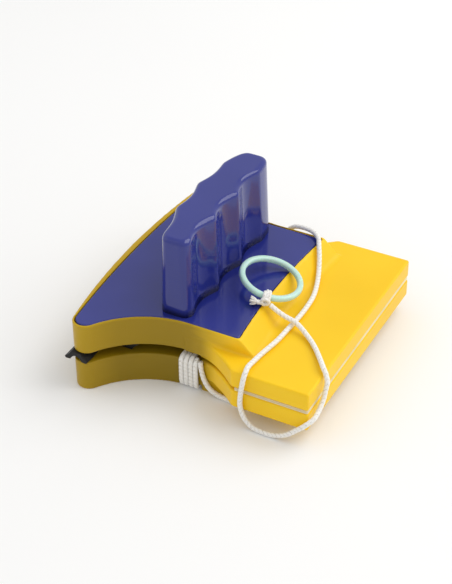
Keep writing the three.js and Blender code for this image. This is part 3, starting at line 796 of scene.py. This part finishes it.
def rubber_material():
    """Black rubber, dusted unevenly and drawn lengthwise."""
    material, nodes, links, shader = new_material("wiper_rubber")
    dust = noise(nodes, links, 160, 4, 0.65)
    links.new(ramp(nodes, links, dust, [(0.35, (0.006, 0.006, 0.007)), (0.75, (0.020, 0.020, 0.019))]),
              shader.inputs["Base Color"])
    links.new(to_range(nodes, links, dust, 0.42, 0.68), shader.inputs["Roughness"])
    shader.inputs["Specular IOR Level"].default_value = 0.3
    links.new(bump(nodes, links, noise(nodes, links, 1400, 3, stretch=(1, 0.1, 1)), 0.00006, 0.6),
              shader.inputs["Normal"])
    return material


def metal_material(name, color, roughness, stretch=(1, 1, 1)):
    """Metal with a fine grain, drawn out along an axis whose stretch is small."""
    material, nodes, links, shader = new_material(name)
    brushed = noise(nodes, links, 1500, 3, stretch=stretch)
    dark = tuple(c * 0.8 for c in color)
    links.new(drifting(nodes, links, brushed, dark, color), shader.inputs["Base Color"])
    links.new(to_range(nodes, links, brushed, *roughness), shader.inputs["Roughness"])
    shader.inputs["Metallic"].default_value = 1.0
    links.new(bump(nodes, links, brushed, 0.00003, 0.5), shader.inputs["Normal"])
    return material


def floor_material():
    """A pale floor with a barely uneven tone."""
    material, nodes, links, shader = new_material("studio_floor")
    tone = noise(nodes, links, 3, 2)
    links.new(drifting(nodes, links, tone, (0.905, 0.906, 0.906), (0.92, 0.921, 0.921)),
              shader.inputs["Base Color"])
    shader.inputs["Roughness"].default_value = 0.6
    shader.inputs["Specular IOR Level"].default_value = 0.2
    return material


# The last pair of colours is painted shade for the wing's walls.
YELLOW = moulded("yellow_plastic", (0.90, 0.55, 0.010), (0.96, 0.61, 0.016), roughness=(0.3, 0.4),
                 ripple=0.00006, glow=0.1, gloss=0.22, painted_shade=((0.25, 0.165, 0.006), (0.29, 0.19, 0.008)))
BLUE = moulded("blue_plastic", (0.018, 0.026, 0.20), (0.025, 0.034, 0.24), roughness=(0.08, 0.14),
               ripple=0.00018, gloss=0.55)
MINT = moulded("mint_plastic", (0.50, 0.75, 0.66), (0.56, 0.79, 0.71), roughness=(0.22, 0.3),
               ripple=0.00008, glow=0.2)
RAIL = moulded("rail_plastic", (0.02, 0.02, 0.02), (0.03, 0.03, 0.032), roughness=(0.5, 0.6),
               ripple=0.00005)
WHITE_CORD = cord_material()
FELT = felt_material()
RUBBER = rubber_material()
STEEL = metal_material("yoke_steel", (0.60, 0.61, 0.63), roughness=(0.3, 0.45), stretch=(1, 0.05, 1))
ZINC = metal_material("screw_zinc", (0.72, 0.73, 0.76), roughness=(0.22, 0.32))
NICKEL = metal_material("magnet_nickel", (0.55, 0.55, 0.57), roughness=(0.3, 0.42))


# ---------- the tether ----------
def tether():
    """The free cord in two pieces: the lead spans both units, and the line rides on the inner one."""
    lead_path = spline(LEAD, PATH_STEP)
    line_path = spline(LINE, PATH_STEP)
    lead = braided_tube("cord_lead", lead_path, CORD / 2)
    line = braided_tube("cord_line", line_path, CORD / 2)
    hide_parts("tether_cord_lead")
    place(line, "inner_unit", "white_cord", "tether_cord_line")
    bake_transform(lead)
    return lead, lead_path, line, line_path


def winding():
    """Three close turns of the cord round the outer unit's neck, and a fourth strand on the near side."""
    radius = CORD / 2
    wall_gap, floor_gap, corner, turns = 0.35, 0.3, 2.6, 3
    y = WAIST[1] - WAIST_RADIUS + wall_gap + radius
    low, high = WINDING_LOW[2] + radius + floor_gap, WINDING_HIGH[2] - radius
    near = np.concatenate([
        arc((-y + corner, low + corner), corner, 1.5 * math.pi, math.pi, 8),
        arc((-y + corner, high - corner), corner, math.pi, math.pi / 2, 8),
    ])
    far = near[::-1] * (-1, 1)
    pitch = (WINDING_HIGH[0] - WINDING_LOW[0] - CORD) / turns
    points = []
    for turn in range(turns + 1):
        x = WINDING_LOW[0] + radius + turn * pitch
        points.append(np.column_stack([np.full(len(near), x), near]))
        if turn < turns:
            points.append(np.column_stack([np.full(len(far), x + pitch / 2), far]))
    path = spline(np.concatenate(points), 0.45)
    piece = braided_tube("cord_winding", path, radius, around=14)
    return place(piece, "outer_unit", "white_cord", "tether_winding")


def join_pieces(name, pieces):
    """One object from several, keeping their attributes."""
    bpy.ops.object.select_all(action="DESELECT")
    for piece in pieces:
        piece.select_set(True)
    bpy.context.view_layer.objects.active = pieces[0]
    bpy.ops.object.join()
    pieces[0].name = name
    return pieces[0]


def ring_knot():
    """Two wraps of the cord round the ring, a binding turn outside them and a frayed tail.

    It is laid out along the ring, outward from it and up from its plane, round the middle of the ring's tube.
    """
    turn = math.radians(KNOT_ANGLE)
    along = np.array([-math.sin(turn), math.cos(turn), 0])
    outward = np.array([math.cos(turn), math.sin(turn), 0])
    up = np.array([0, 0, 1.0])
    axes = np.stack([along, outward, up]) @ RING_AXES.T
    middle = RING_MID + (outward * RING_RADIUS) @ RING_AXES.T

    def strand(part, local, radius, around=12):
        return braided_tube(f"ring_knot_{part}", spline(local @ axes + middle, KNOT_STEP), radius, around)

    reach = RING_TUBE + CORD / 2 + KNOT_GAP
    wind = np.linspace(0.0, 2.25 * 2 * math.pi, 40)
    wraps = np.column_stack([np.linspace(1.5, -1.2, 40), reach * np.cos(wind), reach * np.sin(wind)])
    bind = np.linspace(0.0, 1.4 * 2 * math.pi, 22)
    binding = np.column_stack([0.2 + 1.7 * np.cos(bind + 2.4), np.linspace(3.6, 4.3, 22),
                               1.5 * np.sin(bind + 2.4)])
    tail_from = np.array([-0.6, 4.0, -0.8])
    tail_to = np.array([-3.6, 4.0, -1.5])
    pulled_tight = 0.85
    pieces = [strand("wraps", wraps, pulled_tight), strand("binding", binding, pulled_tight),
              strand("tail", np.linspace(tail_from, tail_to, 9), 1.15)]
    for i in range(14):
        fan, lean = 2.0 if i % 2 else 1.0, i * 0.95
        spread = np.array([-3.0 - 0.6 * math.sin(i * 2.1), fan * math.sin(lean), fan * math.cos(lean)])
        bent = spread * (0.4, 0.75, 0.75)
        thread = np.array([tail_to + (0.9, 0, 0), tail_to + bent, tail_to + spread])
        pieces.append(strand(f"fray_{i}", thread, 0.36, 6))
    return place(join_pieces("ring_knot", pieces), "inner_unit", "white_cord", "tether_ring_knot")


def end_knot():
    """An overhand stop knot outside the wiper edge, with the cord's stub going in through the hole."""
    low, high = node_box("tether_end_knot")
    middle = np.array([low[0] + 1.75, (low[1] + high[1]) / 2, (low[2] + high[2]) / 2])
    t = np.linspace(0, 2 * math.pi, 60)
    trefoil = np.column_stack([-np.sin(3 * t) * 0.75, np.sin(t) + 2 * np.sin(2 * t),
                               np.cos(t) - 2 * np.cos(2 * t)])
    knot = braided_tube("end_knot_loop", spline(middle + trefoil * 0.43, KNOT_STEP), 0.8, 12)
    hole_z = low[2] + 1.6
    stub = np.linspace((low[0] + 2.2, middle[1], hole_z), (high[0], middle[1], hole_z), 12)
    inside = braided_tube("end_knot_stub", spline(stub, KNOT_STEP), 1.05, 12)
    return place(join_pieces("end_knot", [knot, inside]), "inner_unit", "white_cord", "tether_end_knot")


def ring():
    """The finger ring: a slightly uneven hoop with a section between round and square."""
    around, rings, squareness = 28, 128, 2.6
    turn = np.arange(rings) * 2 * np.pi / rings
    section = np.arange(around) * 2 * np.pi / around
    radius = RING_RADIUS + 0.12 * np.sin(2 * turn + 0.6)
    c, s = np.cos(section), np.sin(section)
    tube = RING_TUBE / (np.abs(c) ** squareness + np.abs(s) ** squareness) ** (1 / squareness)
    reach = radius[:, None] + tube * c
    x, y = reach * np.cos(turn)[:, None], reach * np.sin(turn)[:, None]
    z = np.broadcast_to(tube * s, x.shape)
    points = np.stack([x, y, z], -1).reshape(-1, 3) @ RING_AXES.T + RING_MID
    a, b = np.meshgrid(np.arange(rings), np.arange(around), indexing="ij")
    start, end, b2 = a * around, (a + 1) % rings * around, (b + 1) % around
    faces = np.stack([start + b, end + b, end + b2, start + b2], -1).reshape(-1, 4)
    piece = make_object("finger_ring", points, faces, MINT)
    return place(piece, "ring", "mint_plastic", "tether_ring")


# ---------- wipers, pads and the studio ----------
# Lights as name, place in metres, power in watts and colour.
LIGHTS = [
    ("key_light", (0.6, 0.5, 0.98), 8.0, (1, 0.99, 0.97)),
    ("fill_light", (-0.9, -0.5, 0.7), 0.8, (1, 1, 1)),
]
LIGHT_SIZE = 1.0
LIGHT_AIM = (0, 0, 0.03)
STUDIO_BRIGHTNESS = 0.75
FLOOR_HALF = 3.0


def wiper(prefix, body):
    """Double-lip blade: two splayed lips on a foot, a little wavy along their edges."""
    low, high = node_box(f"{prefix}_wiper_blade")
    sign = -1 if prefix == "outer" else 1
    mid_x, half = (low[0] + high[0]) / 2, (high[1] - low[1]) / 2
    root, reach, lip = WING_FLOOR - SEAM, BLADE_REACH, BLADE_LIP
    lips = np.concatenate([
        quadratic((-BLADE_ROOT, root), (-3.6, root - 2.0), (-lip, reach + 1.1), 8),
        quadratic((-lip, reach + 1.1), (-lip, reach), (-lip + 1.1, reach), 5)[1:],
        quadratic((-lip + 3.0, reach + 0.2), (-1.8, 0.4), (0, 0.4), 8),
        quadratic((0, 0.4), (1.8, 0.4), (lip - 3.0, reach + 0.2), 8)[1:],
        quadratic((lip - 1.1, reach), (lip, reach), (lip, reach + 1.1), 5),
        quadratic((lip, reach + 1.1), (3.6, root - 2.0), (BLADE_ROOT, root), 8)[1:],
    ])
    fall = np.clip((root - lips[:, 1]) / (root - reach), 0, 1)
    rings = []
    for y in np.linspace(-half, half, 60):
        sway = 0.25 * math.sin(y / 9) + 0.15 * math.sin(y / 3.7 + 1)
        rings.append(np.column_stack([mid_x + lips[:, 0] + sway * fall, np.full(len(lips), y),
                                      MID_Z + sign * lips[:, 1]]))
    piece = make_object(f"{prefix}_wiper_lips", *loft(rings[::-sign]), RUBBER, sharp_angle=40)
    return place(piece, body, "black_rubber", f"{prefix}_wiper_blade")


def felt_pad(prefix, body):
    """The felt on the block's closing face: a thin sheet with softened edges."""
    low, high = node_box(f"{prefix}_felt_pad")
    sign = -1 if prefix == "outer" else 1
    near, far = sorted((abs(low[2] - MID_Z), abs(high[2] - MID_Z)))
    rings = []
    for inset, z in ((0.25, far), (0.0, far - 0.15), (0.0, near + 0.15), (0.3, near)):
        outline = block_outline(0.3 + inset, BLOCK_LEFT - inset)
        rings.append(np.column_stack([outline, np.full(len(outline), z)]))
    turned = [ring_points * (1, 1, sign) + (0, 0, MID_Z) for ring_points in rings[::-sign]]
    piece = make_object(f"{prefix}_felt", *loft(turned), FELT, sharp_angle=60)
    return place(piece, body, "white_felt", f"{prefix}_felt_pad")


def floor_and_light():
    """A pale floor, a bright even studio, and two soft area lights aimed at the object."""
    mesh = bpy.data.meshes.new("floor")
    corners = [(x * FLOOR_HALF, y * FLOOR_HALF, 0) for x, y in ((-1, -1), (1, -1), (1, 1), (-1, 1))]
    mesh.from_pydata(corners, [], [(0, 1, 2, 3)])
    mesh.materials.append(floor_material())
    floor = bpy.data.objects.new("floor", mesh)
    bpy.context.collection.objects.link(floor)
    scene = bpy.context.scene
    scene.view_settings.view_transform = "Standard"
    world = scene.world or bpy.data.worlds.new("studio")
    scene.world = world
    world.use_nodes = True
    background = world.node_tree.nodes["Background"]
    background.inputs["Color"].default_value = (1.0, 0.998, 0.99, 1)
    background.inputs["Strength"].default_value = STUDIO_BRIGHTNESS
    for name, spot, power, color in LIGHTS:
        data = bpy.data.lights.new(name, "AREA")
        data.size, data.energy, data.color = LIGHT_SIZE, power, color
        light = bpy.data.objects.new(name, data)
        light.location = spot
        light.rotation_euler = (Vector(LIGHT_AIM) - Vector(spot)).to_track_quat("-Z", "Y").to_euler()
        bpy.context.collection.objects.link(light)


# ---------- scene ----------
add_camera()
lead, lead_path, line, line_path = tether()

# The grid's step for the moulded shells.
STEP = 0.5
for prefix, body, is_outer in (("inner", "inner_unit", False), ("outer", "outer_unit", True)):
    place(housing(f"{prefix}_shell", is_outer, STEP), body, "yellow_plastic", f"{prefix}_housing")
    place(cover_panel(f"{prefix}_panel", is_outer, STEP), body, "blue_plastic", f"{prefix}_cover_panel")
    wiper(prefix, body)
    felt_pad(prefix, body)
grip()
winding()
ring()
ring_knot()
end_knot()

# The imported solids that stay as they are, by a part of their names, and their finishes.
CARRIED = {
    "magnet_lid": YELLOW, "blade_rail": RAIL, "yoke_plate": STEEL, "magnet_1": NICKEL, "magnet_2": NICKEL,
    "case_screw": ZINC, "grip_screw": ZINC,
}
for name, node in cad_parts.items():
    for part, material in CARRIED.items():
        if part in name:
            node.data.materials.clear()
            node.data.materials.append(material)

floor_and_light()
